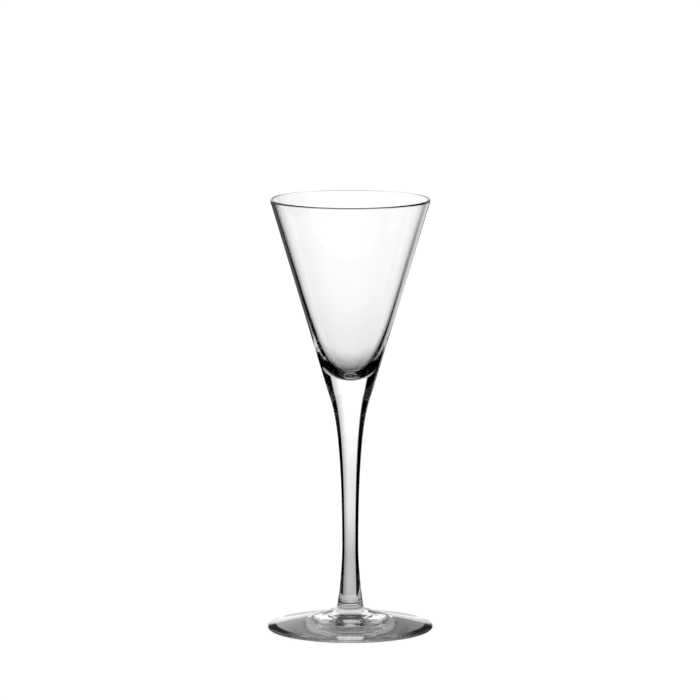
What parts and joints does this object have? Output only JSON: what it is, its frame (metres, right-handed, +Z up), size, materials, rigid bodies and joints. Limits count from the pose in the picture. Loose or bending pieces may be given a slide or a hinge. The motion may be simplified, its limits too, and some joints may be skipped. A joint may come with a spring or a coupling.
{
  "type": "cordial glass",
  "caption": "Small clear stemmed glass with a conical bowl, a drawn solid stem and a round sloping foot, for serving liqueurs and cordials.",
  "frame": {"origin": "on the table, under the middle of the foot", "axes": "+Z up along the glass's axis of revolution, from the foot to the rim"},
  "size_m": [0.0568, 0.0568, 0.1491],
  "materials": {
    "clear_glass": "fire-polished clear"
  },
  "bodies": {
    "root": {"bowl": "clear_glass", "stem": "clear_glass", "foot": "clear_glass"}
  },
  "joints": []
}
